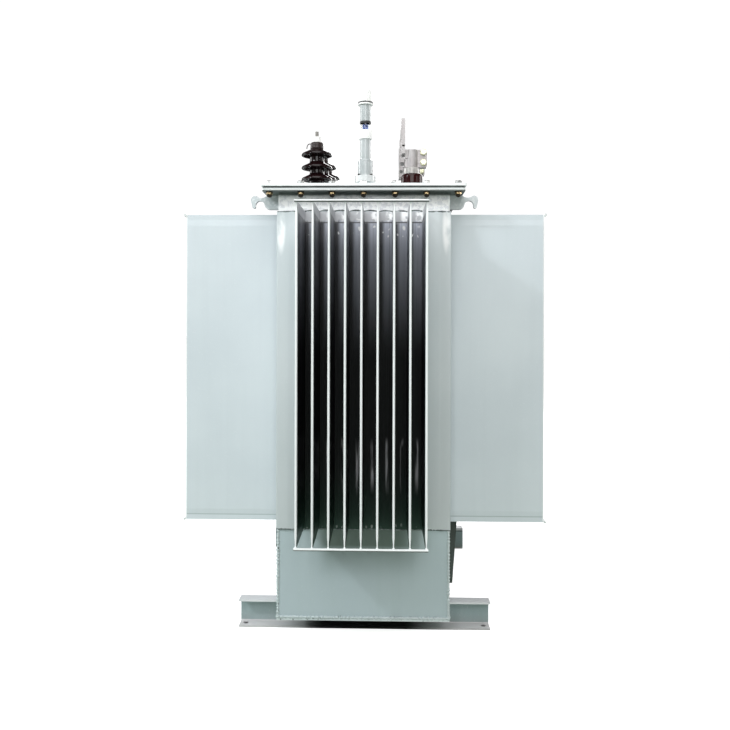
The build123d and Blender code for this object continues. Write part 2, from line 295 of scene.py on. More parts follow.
def finishMaterial(tree, shader, place, values, tone, cloud):
    # roughness follows the cloud; fine grain and slow waviness go through one bump
    rough = ramp(tree, cloud, 0.0, 1.0, values["roughA"], values["roughB"])
    fine = times(tree, noise(tree, place, values["grain"], 2.0), values["grainDepth"])
    slow = times(tree, noise(tree, place, values["wave"], 1.0), values["waveDepth"])
    height = plus(tree, fine, slow)
    if values.get("rollSide"):
        # the sheet rolls away a little toward its upright edges and its top
        parts = split(tree, place)
        start, end, depth = values["rollSide"]
        side = ramp(tree, away(tree, parts[0]), tank["halfX"] + start, tank["halfX"] + end, 0.0, depth)
        start, end, depth = values["rollTop"]
        top = ramp(tree, parts[2], tank["panelHigh"] + start, tank["panelHigh"] + end, 0.0, depth)
        height = plus(tree, height, plus(tree, side, top))
    bump = addNode(tree, "ShaderNodeBump", {"Height": height, "Strength": 1.0, "Distance": 1.0})
    tree.links.new(tone, shader.inputs["Base Color"])
    tree.links.new(rough, shader.inputs["Roughness"])
    tree.links.new(bump, shader.inputs["Normal"])


def paintedValleyShade(tree, place, parts, tone, v):
    # painted shade between the fins, where little light gets in: the tone falls away behind the tips, with a
    # paler painted-light top and a greenish painted-shade foot; step runs from 0 at one fin to 1 at the next,
    # and each gap starts out darker
    along = parts[v["along"]]
    deep = minus(tree, v["tip"], away(tree, parts[v["out"]]))
    inner = ramp(tree, deep, *v["inner"])
    inside = ramp(tree, away(tree, along), v["half"] + v["halfSoft"], v["half"] - v["halfSoft"])
    below = ramp(tree, parts[2], *v["topBand"])
    shade = times(tree, inside, below, ramp(tree, deep, v["shadeFrom"], v["shadeTo"]))
    step = math(tree, "FRACT", plus(tree, math(tree, "DIVIDE", along, tank["pitch"]), v["phase"]))
    wander = times(tree, noise(tree, place, v["wanderScale"]), v["wander"])
    height = plus(tree, parts[2], minus(tree, wander, v["wander"] / 2))
    dark = mixColour(tree, ramp(tree, height, *v["footBand"]), v["foot"], v["mid"])
    upper = mixColour(tree, ramp(tree, step, *v["upperStep"]), v["upperShade"], v["upper"])
    dark = mixColour(tree, ramp(tree, height, *v["upperBand"]), dark, upper)
    # painted highlight: pale streak down each flank, from light that glances off the fold
    flank = ramp(tree, away(tree, deep, v["flankDeep"]), *v["flankWide"])
    dark = mixColour(tree, times(tree, flank, ramp(tree, height, *v["flankBand"])), dark, v["flank"])
    # painted reflections: faint paler streaks in the dark of each gap
    streak = ramp(tree, noise(tree, place, v["streakScale"], 2.0), *v["streak"])
    dark = mixColour(tree, streak, dark, v["streakTone"])
    # painted glint low down on the second half of each gap, where the floor's light reaches in
    glint = ramp(tree, noise(tree, place, v["glintScale"], 2.0), *v["glintCloud"])
    glint = times(
        tree, glint, inner, ramp(tree, height, *v["glintFoot"]), ramp(tree, height, *v["glintTop"]),
        ramp(tree, away(tree, step, v["glintStep"]), *v["glintWide"]))
    dark = mixColour(tree, glint, dark, v["glint"])
    # pressed strip at the top, painted lighter as light reaches it: grey, with painted highlight patches on
    # the second half of each gap and a painted shade line under it
    patch = ramp(tree, noise(tree, place, v["shineScale"]), *v["shineCloud"])
    patch = times(tree, patch, inner, ramp(tree, step, *v["shineStep"]))
    strip = mixColour(tree, patch, v["strip"], v["shine"])
    dark = mixColour(tree, ramp(tree, height, *v["stripBand"]), dark, strip)
    line = ramp(tree, away(tree, parts[2], v["lineHigh"]), *v["lineWide"])
    dark = mixColour(tree, line, dark, v["line"])
    # painted glint spots under that strip and at the foot
    some = ramp(tree, noise(tree, place, v["glintSpotScale"], 0.0), *v["glintSpotCloud"])
    for spotStep, spotHigh, size, depth in v["glintSpots"]:
        side = times(tree, minus(tree, step, spotStep), tank["pitch"])
        rise = times(tree, minus(tree, height, spotHigh), v["glintSpotSquash"])
        far = math(tree, "SQRT", plus(tree, times(tree, side, side), times(tree, rise, rise)))
        spot = times(tree, ramp(tree, far, size, size * v["glintSpotCore"], 0.0, depth), some)
        dark = mixColour(tree, spot, dark, v["shine"])
    # painted highlight: a paler rim along the fin tips
    edge = ramp(tree, deep, v["shadeFrom"] + v["edgeWide"], v["shadeFrom"], 0.0, v["edgeDepth"])
    return mixColour(tree, shade, mixColour(tree, edge, tone, v["edge"]), dark)


def paintMaterial(name, values, valley=None):
    # stove paint: cloudy tone, faint runs down the sheet, speckle and some dust low down
    mat, tree, shader, place = startMaterial(name, values)
    parts = split(tree, place)
    x = parts[0]
    z = parts[2]
    cloud = ramp(tree, noise(tree, place, values["cloud"], 4.0), *values["cloudRange"])
    tone = mixColour(tree, cloud, values["toneA"], values["toneB"])
    runs = ramp(tree, noise(tree, place, values["runScale"], 4.0), *values["runRange"], 0.0, values["runs"])
    tone = mixColour(tree, runs, tone, values["runTone"])
    least = values["speckFrom"]
    speck = noise(tree, place, values["speckScale"], 2.0)
    speck = ramp(tree, speck, least, least + values["speckSoft"], 0.0, values["speck"])
    tone = mixColour(tree, speck, tone, values["speckTone"])
    dust = ramp(tree, z, values["dustTop"], 0.0, 0.0, values["dust"])
    dust = times(tree, dust, noise(tree, place, values["dustScale"], 5.0))
    tone = mixColour(tree, dust, tone, values["dustTone"])
    if values.get("fall"):
        # painted shade: the tone darkens toward the foot
        tone = mixColour(tree, ramp(tree, z, *values["fall"]), tone, values["fallTone"])
    for low, high, soft, depth, bandTone in values.get("bands", ()):
        # a level band of another tone; among them painted shade in creases, under edges and on a top face,
        # painted highlights on rims, a grey line and a dark stud end
        band = ramp(tree, z, low - soft, low + soft)
        band = times(tree, band, ramp(tree, z, high + soft, high - soft), depth)
        tone = mixColour(tree, band, tone, bandTone)
    if values.get("shelter"):
        # painted shade, greenish, in the shelter of the fin feet, thinning downward
        v = values["shelter"]
        shadeMask = math(tree, "MAXIMUM", ramp(tree, z, *v["thin"]), ramp(tree, z, *v["thick"]))
        shadeMask = times(tree, shadeMask, ramp(tree, x, *v["left"]), ramp(tree, x, *v["right"]))
        tone = mixColour(tree, shadeMask, tone, v["tone"])
    if values.get("underTankShade"):
        # painted shade on the rails, under the middle of the tank
        tone = mixColour(tree, ramp(tree, away(tree, x), *values["underTankShade"]), tone, values["underTankShadeTone"])
    if values.get("eaves"):
        # painted shade in the corner under the flange
        high = plus(tree, z, times(tree, noise(tree, place, values["eavesScale"]), values["eavesWander"]))
        tone = mixColour(tree, ramp(tree, high, *values["eaves"]), tone, values["eavesTone"])
    if values.get("under"):
        # painted shade on the faces that look down
        facing = split(tree, addNode(tree, "ShaderNodeNewGeometry", out="True Normal"))[2]
        shadeMask = ramp(tree, facing, *values["underFacing"], 0.0, values["under"])
        tone = mixColour(tree, shadeMask, tone, values["underTone"])
    if values.get("cornerShine"):
        # painted highlight at each upper corner of the sheet, an ellipse that fades outward
        v = values["cornerShine"]
        side = math(tree, "DIVIDE", minus(tree, away(tree, x), v["x"]), v["wide"])
        rise = math(tree, "DIVIDE", minus(tree, z, v["z"]), v["tall"])
        far = plus(tree, times(tree, side, side), times(tree, rise, rise))
        sheenBreakup = ramp(tree, noise(tree, place, v["scale"]), *v["cloud"])
        tone = mixColour(tree, times(tree, sheenBreakup, ramp(tree, far, *v["fade"])), tone, v["tone"])
    if valley:
        tone = paintedValleyShade(tree, place, parts, tone, valley)
    finishMaterial(tree, shader, place, values, tone, cloud)
    return mat


def plainMaterial(name, values):
    # one tone with cloudy change, wear marks and grain
    mat, tree, shader, place = startMaterial(name, values)
    cloud = ramp(tree, noise(tree, place, values["cloud"], 5.0), *values["cloudRange"])
    tone = mixColour(tree, cloud, values["toneA"], values["toneB"])
    mark = ramp(tree, noise(tree, place, values["markScale"]), *values["markRange"], 0.0, values["mark"])
    tone = mixColour(tree, mark, tone, values["markTone"])
    finishMaterial(tree, shader, place, values, tone, cloud)
    return mat


def glassMaterial(name, values):
    # clear glass with a faint haze
    mat, tree, shader, place = startMaterial(name, values)
    haze = ramp(tree, noise(tree, place, values["haze"]), *values["hazeRange"])
    tone = mixColour(tree, haze, values["toneA"], values["toneB"])
    rough = ramp(tree, haze, 0.0, 1.0, values["roughA"], values["roughB"])
    tree.links.new(tone, shader.inputs["Base Color"])
    tree.links.new(rough, shader.inputs["Roughness"])
    shader.inputs["Transmission Weight"].default_value = 1.0
    return mat


# paints: a range of two numbers may be followed by what it gives at its start and end
paint = dict(
    toneA=(0.585, 0.66, 0.675), toneB=(0.64, 0.71, 0.72), cloud=2.3, cloudRange=(0.35, 0.68),
    runs=0.22, runScale=(38.0, 38.0, 1.6), runRange=(0.42, 0.75), runTone=(0.54, 0.62, 0.63),
    speck=0.25, speckScale=160.0, speckFrom=0.63, speckSoft=0.09, speckTone=(0.70, 0.755, 0.76),
    dust=0.5, dustTop=0.12, dustScale=14.0, dustTone=(0.30, 0.29, 0.26),
    underFacing=(0.1, -0.35), roughA=0.34, roughB=0.44,
    grain=520.0, grainDepth=0.00006, wave=5.0, waveDepth=0.0012,
)
# painted shade on the skirt under the fin feet
finShelter = dict(
    thin=(0.20, 0.345, 0.0, 0.70), thick=(0.296, 0.322, 0.0, 0.88),
    left=(-0.155, -0.095), right=(0.22, 0.10), tone=(0.078, 0.115, 0.09),
)
# the skirt is a darker copy of the tank paint: painted shade under the fins
skirtPaint = dict(
    paint, toneA=(0.41, 0.485, 0.515), toneB=(0.445, 0.525, 0.55),
    speckTone=(0.50, 0.57, 0.59), runTone=(0.39, 0.47, 0.48), waveDepth=0.0006, shelter=finShelter,
)
beadPaint = dict(
    skirtPaint, toneA=(0.46, 0.53, 0.54), toneB=(0.56, 0.62, 0.63),
    speck=0.9, speckScale=80.0, speckTone=(0.13, 0.17, 0.165), shelter=None,
)
footPaint = dict(beadPaint, toneA=(0.60, 0.67, 0.68), toneB=(0.70, 0.75, 0.76), speckScale=110.0)
# painted shade: the side fins darken toward the foot, with a dark line at the lower crease
finPaint = dict(
    paint, toneA=(0.565, 0.615, 0.65), toneB=(0.615, 0.665, 0.695),
    runTone=(0.53, 0.58, 0.61), speckTone=(0.66, 0.705, 0.73), gloss=0.4,
    fall=(1.25, 0.36, 0.0, 0.08), fallTone=(0.42, 0.50, 0.505),
    bands=[(0.3915, 0.3945, 0.0012, 0.6, (0.27, 0.33, 0.33))],
)
# painted shade: the end sheet darkens toward the foot; painted highlight at its upper corners
endPaint = dict(
    paint, toneA=(0.535, 0.58, 0.60), toneB=(0.585, 0.625, 0.645),
    runTone=(0.49, 0.535, 0.55), speckTone=(0.64, 0.68, 0.695), gloss=0.4,
    fall=(1.30, 0.36, 0.0, 0.40), fallTone=(0.37, 0.40, 0.395),
    rollSide=(0.004, -0.034, 0.008), rollTop=(0.002, -0.11, 0.007),
    cornerShine=dict(
        x=0.252, z=1.285, wide=0.010, tall=0.055, scale=(30.0, 30.0, 16.0), cloud=(0.30, 0.62),
        fade=(2.6, 0.0, 0.0, 0.9), tone=(0.93, 0.935, 0.94)),
)
# near white, partly the band's own colour and partly painted light against the flange's shade; painted shade
# under the flange
collarPaint = dict(
    paint, toneA=(0.95, 0.96, 0.97), toneB=(0.98, 0.985, 0.99),
    speck=0.55, speckScale=105.0, speckFrom=0.50, speckTone=(0.62, 0.64, 0.69),
    grain=170.0, grainDepth=0.0004, roughA=0.35, roughB=0.55,
    eaves=(1.3855, 1.3925, 0.0, 0.9), eavesScale=60.0, eavesWander=0.004, eavesTone=(0.045, 0.065, 0.058),
)
edgePaint = dict(
    paint, toneA=(0.80, 0.835, 0.835), toneB=(0.86, 0.885, 0.885), runs=0.05, speckTone=(0.90, 0.91, 0.91),
)
# painted shade: the cover's top face is darker than its edge
coverPaint = dict(
    edgePaint,
    bands=[(tank["coverTop"] - 0.0003, tank["coverTop"] + 1.0, 0.0002, 0.9, (0.58, 0.64, 0.65))],
)
# painted shade on the flange's lower edge and under it; a grey line higher up
flangePaint = dict(
    edgePaint, under=0.96, underTone=(0.05, 0.066, 0.06),
    bands=[
        (1.39, 1.3972, 0.0006, 0.9, (0.06, 0.075, 0.07)),
        (1.4005, 1.4035, 0.0006, 0.5, (0.42, 0.45, 0.45)),
    ],
)
# painted shade on the rods' undersides
rodPaint = dict(
    edgePaint, toneA=(0.69, 0.715, 0.715), toneB=(0.75, 0.77, 0.77), speckTone=(0.80, 0.81, 0.81),
    under=0.92, underTone=(0.05, 0.058, 0.056),
)
# painted shade on the hooks' undersides
hookPaint = dict(
    paint, toneA=(0.56, 0.60, 0.62), toneB=(0.66, 0.70, 0.72),
    speck=0.6, speckScale=105.0, speckFrom=0.52, speckTone=(0.80, 0.82, 0.84),
    under=0.8, underTone=(0.10, 0.115, 0.12), grain=170.0, grainDepth=0.0008,
)
hvStudFinish = dict(
    paint, toneA=(0.80, 0.79, 0.77), toneB=(0.90, 0.89, 0.87),
    runs=0.1, runTone=(0.66, 0.64, 0.60), speckTone=(0.94, 0.94, 0.93),
    bands=[(1.6545, 1.9, 0.0008, 0.92, (0.16, 0.145, 0.13))],
)
# painted light on both flanges' tops, a painted shade line under the top flange, painted shade under the
# middle of the tank
railPaint = dict(
    paint, toneA=(0.33, 0.42, 0.435), toneB=(0.375, 0.465, 0.48), dust=0.5, dustTop=0.05,
    underTankShade=(0.25, 0.13, 0.0, 0.97), underTankShadeTone=(0.006, 0.006, 0.006),
    bands=[
        (0.0815, 0.2, 0.0012, 0.9, (0.80, 0.80, 0.82)),
        (0.0765, 0.0815, 0.0012, 0.8, (0.08, 0.10, 0.10)),
        (-0.1, 0.0092, 0.0012, 0.9, (0.62, 0.60, 0.61)),
    ],
)
# painted shade: the nameplate bracket is a near-black copy of the tank paint
bracketPaint = dict(
    paint, toneA=(0.055, 0.068, 0.062), toneB=(0.075, 0.09, 0.082),
    runTone=(0.05, 0.06, 0.055), speckTone=(0.11, 0.125, 0.115),
)
# painted shade, light, streaks and glints between the fins
valleyTones = dict(
    shadeFrom=0.0015, shadeTo=0.022, inner=(0.10, 0.18), halfSoft=0.0006,
    topBand=(tank["finHigh"] - 0.0002, tank["finHigh"] - 0.002),
    edge=(0.84, 0.855, 0.86), edgeWide=0.003, edgeDepth=0.9, wander=0.03, wanderScale=(90.0, 90.0, 9.0),
    foot=(0.004, 0.034, 0.021), footBand=(0.36, 0.60), mid=(0.0022, 0.003, 0.005),
    upper=(0.50, 0.53, 0.61), upperShade=(0.03, 0.032, 0.04), upperBand=(0.88, 1.30), upperStep=(0.18, 0.52),
    flank=(0.22, 0.225, 0.25), flankDeep=0.085, flankWide=(0.055, 0.015, 0.0, 0.75), flankBand=(0.95, 1.27),
    streak=(0.55, 0.75, 0.0, 0.45), streakScale=(240.0, 240.0, 2.2), streakTone=(0.03, 0.03, 0.036),
    glint=(0.95, 0.95, 1.0), glintScale=(75.0, 75.0, 6.0), glintCloud=(0.38, 0.62, 0.0, 0.9),
    glintFoot=(0.47, 0.55), glintTop=(0.655, 0.615), glintStep=0.62, glintWide=(0.16, 0.02),
    strip=(0.50, 0.51, 0.53), stripBand=(1.300, 1.312), shine=(0.97, 0.975, 0.98),
    shineScale=(46.0, 46.0, 60.0), shineCloud=(0.40, 0.56), shineStep=(0.42, 0.66),
    line=(0.045, 0.05, 0.055), lineHigh=1.3035, lineWide=(0.0030, 0.0010, 0.0, 0.85),
    glintSpotScale=(17.0, 17.0, 40.0), glintSpotCloud=(0.44, 0.56), glintSpotSquash=0.6, glintSpotCore=0.4,
    glintSpots=(
        (0.72, 1.288, 0.0062, 1.0), (0.30, 1.270, 0.0034, 1.0), (0.66, 1.262, 0.0030, 1.0),
        (0.60, tank["panelLow"] + 0.010, 0.0044, 0.28), (0.22, tank["panelLow"] + 0.008, 0.0038, 0.20),
    ),
)
endValley = dict(valleyTones, tip=tank["endTip"], out=1, along=0, half=0.1825, phase=100.0)
sideValley = dict(valleyTones, tip=tank["sideTip"], out=0, along=1, half=0.5155, phase=100.5)

skirtMat = paintMaterial("skirt paint", skirtPaint)
collarMat = paintMaterial("collar paint", collarPaint)
edgeMat = paintMaterial("edge paint", edgePaint)
coverMat = paintMaterial("cover paint", coverPaint)
flangeMat = paintMaterial("flange paint", flangePaint)
rodMat = paintMaterial("rod paint", rodPaint)
hookMat = paintMaterial("hook paint", hookPaint)
hvStudMat = paintMaterial("tinned nut and dark stud end", hvStudFinish)
beadMat = paintMaterial("bead paint", beadPaint)
footMat = paintMaterial("foot edge paint", footPaint)
railMat = paintMaterial("rail paint", railPaint)
bracketMat = paintMaterial("shaded bracket paint", bracketPaint)
endWallMat = paintMaterial("end fins paint", endPaint, endValley)
sideWallMat = paintMaterial("side fins paint", finPaint, sideValley)

plain = dict(cloudRange=(0.32, 0.70), markRange=(0.60, 0.72), wave=5.0, waveDepth=0.0)
gasketMat = plainMaterial("gasket rubber", dict(
    plain, toneA=(0.10, 0.11, 0.11), toneB=(0.16, 0.17, 0.17), cloud=20.0,
    mark=0.4, markScale=60.0, markTone=(0.25, 0.26, 0.26),
    roughA=0.7, roughB=0.85, grain=300.0, grainDepth=0.0003))
sealMat = plainMaterial("seal rubber", dict(
    plain, toneA=(0.02, 0.02, 0.022), toneB=(0.04, 0.04, 0.042), cloud=40.0,
    mark=0.3, markScale=90.0, markTone=(0.08, 0.08, 0.08),
    roughA=0.55, roughB=0.7, grain=300.0, grainDepth=0.0002))
hvGlaze = plainMaterial("dark brown glaze", dict(
    plain, toneA=(0.006, 0.0025, 0.003), toneB=(0.012, 0.004, 0.0045), cloud=12.0,
    mark=0.5, markScale=45.0, markTone=(0.03, 0.009, 0.008), gloss=0.25,
    roughA=0.05, roughB=0.11, grain=70.0, grainDepth=0.0003, wave=25.0, waveDepth=0.0008))
lvGlaze = plainMaterial("red brown glaze", dict(
    plain, toneA=(0.017, 0.003, 0.004), toneB=(0.032, 0.006, 0.006), cloud=14.0,
    mark=0.4, markScale=50.0, markTone=(0.08, 0.018, 0.016), gloss=0.22,
    roughA=0.05, roughB=0.10, grain=70.0, grainDepth=0.0003, wave=25.0, waveDepth=0.0008))
castMat = plainMaterial("cast clamp metal", dict(
    plain, toneA=(0.37, 0.345, 0.345), toneB=(0.47, 0.45, 0.45), cloud=22.0,
    mark=0.5, markScale=140.0, markTone=(0.33, 0.30, 0.30), metal=0.4,
    roughA=0.38, roughB=0.55, grain=420.0, grainDepth=0.0006, wave=40.0, waveDepth=0.0006))
capMat = plainMaterial("dark cap", dict(
    plain, toneA=(0.016, 0.010, 0.010), toneB=(0.030, 0.018, 0.017), cloud=30.0,
    mark=0.4, markScale=120.0, markTone=(0.07, 0.055, 0.05), gloss=0.3,
    roughA=0.22, roughB=0.4, grain=300.0, grainDepth=0.0004))
studMat = plainMaterial("tinned stud", dict(
    plain, toneA=(0.40, 0.385, 0.37), toneB=(0.50, 0.485, 0.47), cloud=60.0,
    mark=0.5, markScale=200.0, markTone=(0.38, 0.34, 0.30), metal=0.3,
    roughA=0.28, roughB=0.42, grain=500.0, grainDepth=0.0002))
# near black, partly painted shade for the bolt ends under the flange
boltMat = plainMaterial("near-black bolt ends", dict(
    plain, toneA=(0.010, 0.007, 0.005), toneB=(0.030, 0.020, 0.011), cloud=55.0,
    mark=0.6, markScale=60.0, markTone=(0.08, 0.055, 0.028), gloss=0.3,
    roughA=0.3, roughB=0.5, grain=500.0, grainDepth=0.0002))
brassMat = plainMaterial("brass nuts", dict(
    plain, toneA=(0.40, 0.29, 0.15), toneB=(0.60, 0.47, 0.27), cloud=55.0,
    mark=0.5, markScale=90.0, markTone=(0.16, 0.10, 0.045), metal=1.0,
    roughA=0.10, roughB=0.22, grain=500.0, grainDepth=0.0001))
paleBoltMat = plainMaterial("pale yellow zinc", dict(
    plain, toneA=(0.82, 0.80, 0.56), toneB=(0.92, 0.91, 0.72), cloud=70.0,
    mark=0.5, markScale=110.0, markTone=(0.48, 0.36, 0.14), metal=0.45,
    roughA=0.24, roughB=0.40, grain=500.0, grainDepth=0.0002))
zincMat = plainMaterial("bright zinc heads", dict(
    plain, toneA=(0.62, 0.63, 0.63), toneB=(0.80, 0.80, 0.79), cloud=70.0,
    mark=0.5, markScale=150.0, markTone=(0.35, 0.33, 0.30), metal=1.0,
    roughA=0.24, roughB=0.4, grain=500.0, grainDepth=0.0002))
pipeMat = plainMaterial("pipe paint", dict(
    plain, toneA=(0.40, 0.43, 0.435), toneB=(0.45, 0.48, 0.485), cloud=18.0,
    mark=0.3, markScale=70.0, markTone=(0.38, 0.41, 0.42),
    roughA=0.10, roughB=0.17, grain=420.0, grainDepth=0.0001))
neckMat = plainMaterial("neck paint", dict(
    plain, toneA=(0.56, 0.58, 0.58), toneB=(0.66, 0.68, 0.68), cloud=18.0,
    mark=0.6, markScale=55.0, markTone=(0.33, 0.31, 0.28),
    roughA=0.14, roughB=0.22, grain=420.0, grainDepth=0.0001))
plasticMat = plainMaterial("white plastic", dict(
    plain, toneA=(0.84, 0.84, 0.83), toneB=(0.90, 0.90, 0.89), cloud=25.0,
    mark=0.2, markScale=80.0, markTone=(0.72, 0.72, 0.71),
    roughA=0.22, roughB=0.32, grain=300.0, grainDepth=0.0001))
floatMat = plainMaterial("blue float", dict(
    plain, toneA=(0.035, 0.075, 0.27), toneB=(0.05, 0.10, 0.33), cloud=40.0,
    mark=0.2, markScale=90.0, markTone=(0.09, 0.16, 0.40),
    roughA=0.3, roughB=0.4, grain=300.0, grainDepth=0.0001))
seamMat = plainMaterial("seam shadow line", dict(
    plain, toneA=(0.06, 0.075, 0.075), toneB=(0.22, 0.25, 0.25), cloud=70.0,
    mark=0.6, markScale=45.0, markTone=(0.40, 0.44, 0.44),
    roughA=0.5, roughB=0.7, grain=300.0, grainDepth=0.0003))
glassMat = glassMaterial("level glass", dict(
    toneA=(0.90, 0.94, 0.97), toneB=(0.82, 0.88, 0.93), haze=60.0, hazeRange=(0.4, 0.7),
    roughA=0.02, roughB=0.08, ior=1.45))

# each node takes the finish of the longest name that it starts with
nodeFinish = {
    "base_rail": railMat, "tank_bottom": footMat, "tank_body": skirtMat, "tank_collar": collarMat,
    "tank_flange": flangeMat, "cover_gasket": gasketMat, "cover_plate": coverMat, "lifting_hook": hookMat,
    "front_corr": endWallMat, "back_corr": endWallMat, "left_corr": sideWallMat, "right_corr": sideWallMat,
    "front_fin": rodMat, "back_fin": rodMat, "left_fin": rodMat, "right_fin": rodMat,
    "hv_bushing": hvGlaze, "hv_clamp": castMat, "hv_caps": capMat, "hv_studs": hvStudMat,
    "lv_bushing": lvGlaze, "lv_studs": studMat, "lv_terminal": castMat, "nameplate": bracketMat,
    "filler_neck": neckMat, "filler_pipe": pipeMat, "filler_union": plasticMat, "filler_upper": pipeMat,
    "filler_cap_seal": sealMat, "filler_cap": plasticMat,
    "level_glass_ring": sealMat, "level_glass": glassMat,
}
for nodeName, obj in nodes.items():
    start = max((s for s in nodeFinish if nodeName.startswith(s)), key=len)
    obj.data.materials.clear()
    obj.data.materials.append(nodeFinish[start])
print("finishes set on", len(nodes), "nodes")

# bolts round the cover: bright head and washer on top, brass nut and dark bolt end under the flange
coverBolts = dict(
    across=0.019, head=0.008, nutAcross=0.0165, nut=0.007, washer=0.0115, washerHigh=0.002, spin=0.37,
    lineX=0.285, lineY=0.610, alongX=7, alongY=14,
    dome=((0, 0), (0.0085, 0), (0.0075, 0.006), (0, 0.009)), domeRound=(0, 0.0005, 0.004, 0),
)


hexRim = dict(start=0.8, inset=0.94)


def hexShape(centre, across, height, axis, turn=0.0):
    # six-sided prism with a turned-off rim
    r = across / np.sqrt(3)
    rim = across / 2 * hexRim["inset"]
    prof = [(0, 0), (r, 0), (r, height * hexRim["start"]), (rim, height), (0, height)]
    return turned(prof, centre, 6, axis, turn=turn)


def washerShape(centre, v, axis):
    # flat disc
    r = v["washer"]
    high = v["washerHigh"]
    return turned([(0, 0), (r, 0), (r, high), (0, high)], centre, 20, axis)


def boltRing(centre, v):
    # hex heads at even angles a on a circle, centre + at (cos a, sin a), the first at 45 degrees
    angles = np.arange(v["count"]) * 2 * np.pi / v["count"] + np.pi / 4
    x = centre[0] + v["at"] * np.cos(angles)
    y = centre[1] + v["at"] * np.sin(angles)
    z = centre[2] + v["up"]
    return [hexShape((a, b, z), v["across"], v["high"], "+Z", turn) for a, b, turn in zip(x, y, angles)]


def boltPlaces(v):
    # even spacing along both ends and, without the corners, along both sides
    x = np.linspace(-v["lineX"], v["lineX"], v["alongX"])
    y = np.linspace(-v["lineY"], v["lineY"], v["alongY"])[1:-1]
    ends = [(a, s * v["lineY"]) for a in x for s in (-1, 1)]
    sides = [(s * v["lineX"], b) for b in y for s in (-1, 1)]
    return ends + sides


heads = []
nuts = []
boltEnds = []
dome = roundedProfile(coverBolts["dome"], coverBolts["domeRound"], 5)
headLow = tank["coverTop"] + coverBolts["washerHigh"]
nutHigh = tank["flangeLow"] - coverBolts["washerHigh"]
for i, (bx, by) in enumerate(boltPlaces(coverBolts)):
    spin = i * coverBolts["spin"]
    heads += [washerShape((bx, by, tank["coverTop"]), coverBolts, "+Z")]
    heads += [hexShape((bx, by, headLow), coverBolts["across"], coverBolts["head"], "+Z", spin)]
    boltEnds += [washerShape((bx, by, tank["flangeLow"]), coverBolts, "-Z")]
    nuts += [hexShape((bx, by, nutHigh), coverBolts["nutAcross"], coverBolts["nut"], "-Z")]
    boltEnds += [turned(dome, (bx, by, nutHigh - coverBolts["nut"]), 16, "-Z")]
addPiece("cover_bolt_heads", heads, zincMat, edges="crisp")
addPiece("cover_nuts", nuts, brassMat, edges="crisp")
addPiece("cover_bolt_ends", boltEnds, boltMat, edges="crisp")

# high voltage porcelain: three drooping sheds with soft lips, a smooth neck between them
hvShape = dict(
    foot=0.036, footHigh=0.012, body=0.0275, neck=0.0255, top=0.191, shed=0.055, tips=(0.086, 0.127, 0.173),
    hollow=0.005, lip=((-0.006, -0.0045), (0.0, -0.003), (-0.002, 0.004)), rise=0.018,
    footRound=(0, 0.001, 0.002, 0.003), shedRound=(0.006, 0.0012, 0.002, 0.003, 0.005), topRound=0.002,
    steps=6, sides=64,
)


def hvProfile(v):
    # up the foot and the body, then for each shed in under it, out round its lip and back up to the neck
    points = [(0, 0), (v["foot"], 0), (v["foot"], v["footHigh"]), (v["body"], v["footHigh"])]
    radii = list(v["footRound"])
    inner = v["body"]
    for tip in v["tips"]:
        points += [(inner, tip + v["hollow"])]
        points += [(v["shed"] + out, tip + up) for out, up in v["lip"]]
        points += [(v["neck"], tip + v["rise"])]
        radii += v["shedRound"]
        inner = v["neck"]
    points[-1] = (v["neck"], v["top"])
    radii[-1] = v["topRound"]
    return roundedProfile(points + [(0, v["top"])], radii + [0], v["steps"])


hvPorcelain = [turned(hvProfile(hvShape), c, hvShape["sides"]) for c in hvRow]
addPiece("hv_porcelain", hvPorcelain, hvGlaze, ("hv_bushings",), "soft")

hvCapShape = dict(
    r=0.023, low=0.191, high=0.218, foot=0.96, flare=1.04, flareUp=0.006, sideUp=0.010,
    rounds=(0, 0.001, 0.002, 0.002, 0.009, 0), steps=7, sides=48,
)


def hvCapProfile(v):
    # a low flare over the porcelain, straight sides and a round crown
    points = [
        (0, v["low"]), (v["r"] * v["foot"], v["low"]), (v["r"] * v["flare"], v["low"] + v["flareUp"]),
        (v["r"], v["low"] + v["sideUp"]), (v["r"], v["high"]), (0, v["high"]),
    ]
    return roundedProfile(points, v["rounds"], v["steps"])


hvCaps = [turned(hvCapProfile(hvCapShape), c, hvCapShape["sides"]) for c in hvRow]
addPiece("hv_cap_shells", hvCaps, capMat, ("hv_caps",), "soft")

# bolts that hold each clamp ring down, and the bent wire on each cap
ringBolts = dict(count=4, at=0.0385, up=0.0205, across=0.008, high=0.006)
ringHeads = [head for c in hvRow for head in boltRing(c, ringBolts)]
addPiece("clamp_ring_bolts", ringHeads, zincMat, edges="crisp")

capWire = dict(r=0.0016, start=0.019, reach=0.036, level=0.212, hump=0.003, drop=0.016, steps=24)


def wirePath(centre, v):
    # hook from the cap's flank to -X: out by sin(pi t / 2), with a hump of sin(pi t), and down by t^2
    t = np.linspace(0, 1, v["steps"])
    x = centre[0] - v["start"] - (v["reach"] - v["start"]) * np.sin(t * np.pi / 2)
    z = centre[2] + v["level"] + v["hump"] * np.sin(t * np.pi) - v["drop"] * t ** 2
    return np.stack([x, np.full(v["steps"], centre[1]), z], -1)


addPiece("cap_wires", [bead(wirePath(c, capWire), capWire["r"]) for c in hvRow], capMat)

# low voltage porcelain: a plain barrel with one groove and a round shoulder
lvShape = dict(
    r=0.0385, groove=0.033, low=0.044, high=0.052, slope=0.002, top=0.103,
    rounds=(0, 0.001, 0.004, 0.0015, 0.0015, 0.004, 0.012, 0), steps=7, sides=64,
)


